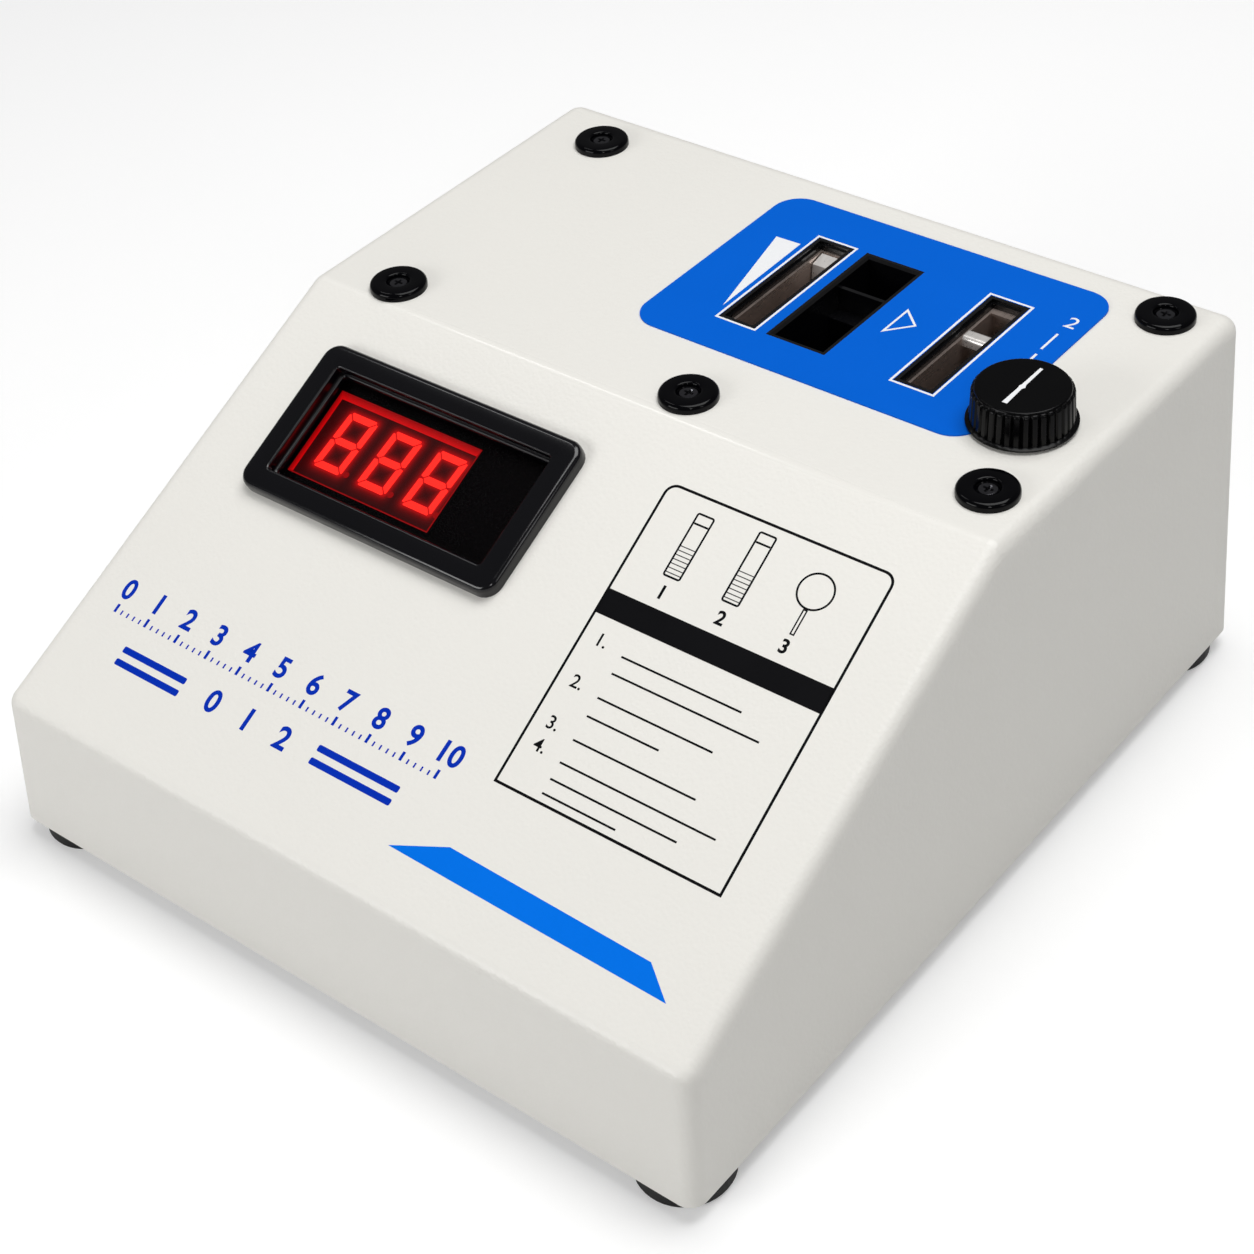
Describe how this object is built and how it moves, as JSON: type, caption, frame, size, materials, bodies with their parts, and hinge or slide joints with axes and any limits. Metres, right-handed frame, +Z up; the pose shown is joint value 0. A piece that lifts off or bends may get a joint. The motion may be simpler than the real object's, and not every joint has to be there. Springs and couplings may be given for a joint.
{
  "type": "benchtop colorimeter",
  "caption": "Benchtop colorimeter with a sloped panel meter, a cuvette well between two sample slots and a filter knob that drives a geared filter slide.",
  "frame": {"origin": "centre of the bounding box in plan, on the surface that the feet stand on", "axes": "+X to the right and +Y to the back as seen from the front, +Z up"},
  "size_m": [0.242, 0.262, 0.1254],
  "materials": {
    "housing_plastic": "fine leather grain",
    "black_plastic": "satin",
    "knob_plastic": "satin",
    "cup_plastic": "polished",
    "label_print": "semi-gloss printed film",
    "foot_rubber": "matt",
    "plate_steel": "powder coat",
    "zinc_steel": "zinc plated",
    "black_screw": "black oxide",
    "sheet_aluminium": "folded sheet",
    "spring_steel": "bright",
    "turned_brass": "turned",
    "gear_plastic": "moulded",
    "bezel_plastic": "satin",
    "window_red": "dark red filter",
    "digit_red": "lit segments",
    "board_green": "solder mask",
    "component_black": "moulded",
    "core_steel": "varnished laminations",
    "glass_clear": "polished",
    "glass_blue": "polished",
    "glass_green": "polished",
    "glass_red": "polished",
    "lead_sleeve": "smooth"
  },
  "bodies": {
    "housing": {"shell": "housing_plastic", "rubber_feet": "foot_rubber", "base_plate": "plate_steel", "foot_screws": "zinc_steel", "optics_deck": "sheet_aluminium", "screw_cups": "cup_plastic", "deck_screws": "black_screw", "label": "label_print", "slot_panel": "black_plastic", "left_slot_collar": "black_plastic", "right_slot_collar": "black_plastic", "left_slot_liner": "sheet_aluminium", "right_slot_liner": "sheet_aluminium", "right_slot_bar": "spring_steel", "cuvette_well": "black_plastic", "shaft_bushing": "turned_brass", "bushing_nut": "turned_brass", "detent_spring": "spring_steel", "slide_guide": "black_plastic", "lens_holder": "black_plastic", "condenser_lens": "glass_clear", "lamp": "glass_clear", "lamp_holder": "component_black", "lamp_bracket": "sheet_aluminium", "light_tubes": "black_plastic", "photocell_housing": "black_plastic", "photocell": "board_green", "meter_bezel": "bezel_plastic", "meter_window": "window_red", "led_digits": "digit_red", "meter_board": "board_green", "meter_case": "black_plastic", "meter_clips": "spring_steel", "board_standoffs": "zinc_steel", "board_screws": "zinc_steel", "main_board": "board_green", "transformer": "core_steel", "board_components": "component_black", "heat_sink": "sheet_aluminium", "mains_inlet": "black_plastic", "inlet_contacts": "turned_brass", "inlet_screws": "zinc_steel", "power_switch": "black_plastic", "fuse_holder": "black_plastic", "zero_trimmer": "component_black", "mains_leads": "lead_sleeve", "signal_leads": "lead_sleeve"},
    "filter_knob": {"filter_knob": "knob_plastic", "knob_set_screw": "zinc_steel", "filter_shaft": "zinc_steel", "filter_pinion": "gear_plastic"},
    "filter_slide": {"filter_slide": "gear_plastic", "filter_glass_1": "glass_blue", "filter_glass_2": "glass_green", "filter_glass_3": "glass_red"},
    "power_rocker": {"power_rocker": "black_plastic"},
    "fuse_cap": {"fuse_cap": "black_plastic", "fuse_link": "glass_clear"},
    "trimmer_shaft": {"trimmer_shaft": "zinc_steel"},
    "left_slot_spring": {"left_slot_spring": "spring_steel"}
  },
  "joints": [
    {"name": "knob_turn", "type": "hinge", "parent": "housing", "child": "filter_knob", "pos_m": [0.093, 0.0545, 0.1148], "axis": [0, 0, 1], "range_deg": [-90, 90]},
    {"name": "slide_travel", "type": "slide", "parent": "housing", "child": "filter_slide", "axis": [0, 1, 0], "range_m": [-0.0142, 0.0142]},
    {"name": "rocker_swing", "type": "hinge", "parent": "housing", "child": "power_rocker", "pos_m": [-0.03, 0.124, 0.035], "axis": [0, 0, 1], "range_deg": [0, 16]},
    {"name": "fuse_cap_turn", "type": "hinge", "parent": "housing", "child": "fuse_cap", "pos_m": [-0.005, 0.1266, 0.035], "axis": [0, 1, 0], "range_deg": [0, 90]},
    {"name": "trimmer_turn", "type": "hinge", "parent": "housing", "child": "trimmer_shaft", "pos_m": [0.013, 0.13, 0.035], "axis": [0, 1, 0], "range_deg": [-135, 135]},
    {"name": "leaf_flex", "type": "hinge", "parent": "housing", "child": "left_slot_spring", "pos_m": [0.0032, 0.0977, 0.1113], "axis": [1, 0, 0], "range_deg": [0, 4], "stiffness_Nm_per_rad": 0.5}
  ],
  "couplings": [
    {"joint": "slide_travel", "follows": "knob_turn", "m_per_rad": -0.009}
  ]
}
